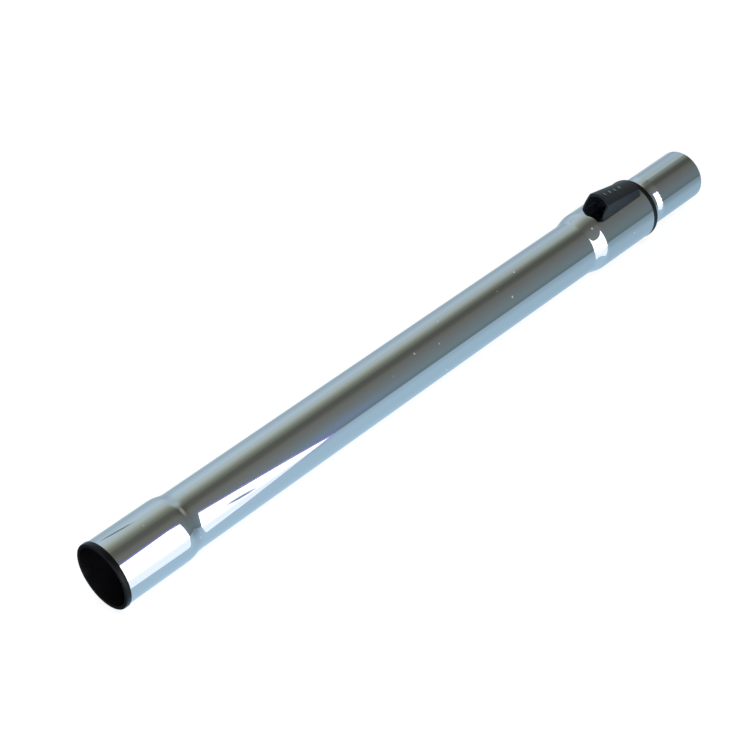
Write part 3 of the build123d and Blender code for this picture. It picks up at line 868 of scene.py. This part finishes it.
    def sky(self) -> None:
        """Paints the surroundings by direction, white for the camera itself."""
        world = bpy.data.worlds.new("Studio_room")
        bpy.context.scene.world = world
        world.use_nodes = True
        tree = world.node_tree
        tree.nodes.clear()
        ray = add(tree, "ShaderNodeTexCoord").outputs["Generated"]
        x, y, z = add(tree, "ShaderNodeSeparateXYZ", Vector=ray).outputs
        around = calc(tree, "DEGREES", calc(tree, "ARCTAN2", y, z))
        along = calc(tree, "DEGREES", calc(tree, "ARCSINE", x))
        room = ramp(tree, remap(tree, around, (-180.0, 180.0)), self.bands()).outputs[0]
        dim = remap(tree, along, self.dim_span, (1.0, self.dim_least))
        room = add(tree, "ShaderNodeVectorMath", {"operation": "SCALE"}, in0=room, Scale=dim).outputs[0]
        for patch in PATCHES:
            room = self.lay(tree, room, along, around, patch)
        room = self.lay(tree, room, along, around, WINDOW, self.panes(tree, along, around))
        room = self.lay(tree, room, along, around, WINDOW_MARK)
        shown = add(tree, "ShaderNodeBackground", Color=room)
        plain = add(tree, "ShaderNodeBackground", Color=WHITE)
        path = add(tree, "ShaderNodeLightPath")
        mixed = add(tree, "ShaderNodeMixShader", Fac=path.outputs[Ray.CAMERA.value], in1=shown.outputs[0],
                    in2=plain.outputs[0])
        add(tree, "ShaderNodeOutputWorld", Surface=mixed.outputs[0])

    def floor_paper(self) -> bpy.types.Material:
        """Builds the floor's matt white paper.

        The camera sees it white, with the shadows on it, and evenly lit further off. Gloss looks through it,
        because the surroundings hold the table that is mirrored.

        Returns:
            The material.
        """
        material = bpy.data.materials.new("Pale_paper_floor")
        material.use_nodes = True
        tree = material.node_tree
        tree.nodes.clear()
        paper = add(tree, "ShaderNodeBsdfDiffuse", Color=(self.paper,) * 3)
        spot = add(tree, "ShaderNodeTexCoord").outputs["Object"]
        away = add(tree, "ShaderNodeVectorMath", {"operation": "LENGTH"}, in0=spot).outputs["Value"]
        glow = remap(tree, away, (self.lit_from, self.lit_to), (1 - self.shadow_share, 1.0), smooth=True)
        seen = add(tree, "ShaderNodeEmission", Color=WHITE, Strength=glow)
        through = add(tree, "ShaderNodeBsdfTransparent")
        both = add(tree, "ShaderNodeAddShader", in0=paper.outputs[0], in1=seen.outputs[0])
        path = add(tree, "ShaderNodeLightPath").outputs
        direct = add(tree, "ShaderNodeMixShader", Fac=path[Ray.CAMERA.value], in1=paper.outputs[0],
                     in2=both.outputs[0])
        shiny = calc(tree, "MAXIMUM", path[Ray.GLOSSY.value], path[Ray.TRANSMISSION.value])
        final = add(tree, "ShaderNodeMixShader", Fac=shiny, in1=direct.outputs[0], in2=through.outputs[0])
        add(tree, "ShaderNodeOutputMaterial", Surface=final.outputs[0])
        return material

    def floor(self, height: float) -> None:
        """Lays the floor.

        Args:
            height: Where it lies, in metres.
        """
        half = self.floor_half
        mesh = bpy.data.meshes.new("Studio_floor")
        corners = [(-half, -half, height), (half, -half, height), (half, half, height), (-half, half, height)]
        mesh.from_pydata(corners, [], [(0, 1, 2, 3)])
        mesh.materials.append(self.floor_paper())
        plane = bpy.data.objects.new("Studio_floor", mesh)
        bpy.context.scene.collection.objects.link(plane)

    def camera(self) -> None:
        """Sets the camera where the wand's outline was fitted, looking down over the mouth."""
        place, right, up = (Vector(triple) for triple in (self.eye, self.eye_right, self.eye_up))
        data = bpy.data.cameras.new("Photo_camera")
        data.sensor_width = self.sensor_mm
        data.lens = self.focal_px * self.sensor_mm / self.frame_px
        eye = bpy.data.objects.new("Photo_camera", data)
        turned = Matrix((right, up, right.cross(up))).transposed().to_4x4()
        eye.matrix_world = Matrix.Translation(place) @ turned
        bpy.context.scene.collection.objects.link(eye)
        bpy.context.scene.camera = eye

    def build(self) -> None:
        """Sets up the whole studio round the wand."""
        self.sky()
        self.floor(CAD_BOX[0][2])
        for lamp in LAMPS:
            lamp.hang()
        self.camera()
        bpy.context.scene.view_settings.view_transform = "Standard"


def main() -> None:
    """Builds and dresses the wand, and sets the studio."""
    logging.basicConfig(level=logging.INFO, format="%(name)s: %(message)s")
    shop = Workshop()
    for assembly in (WideTube(), NarrowTube(), ReleaseButton()):
        assembly.dress(shop)
    Studio().build()


if __name__ == "__main__":
    main()
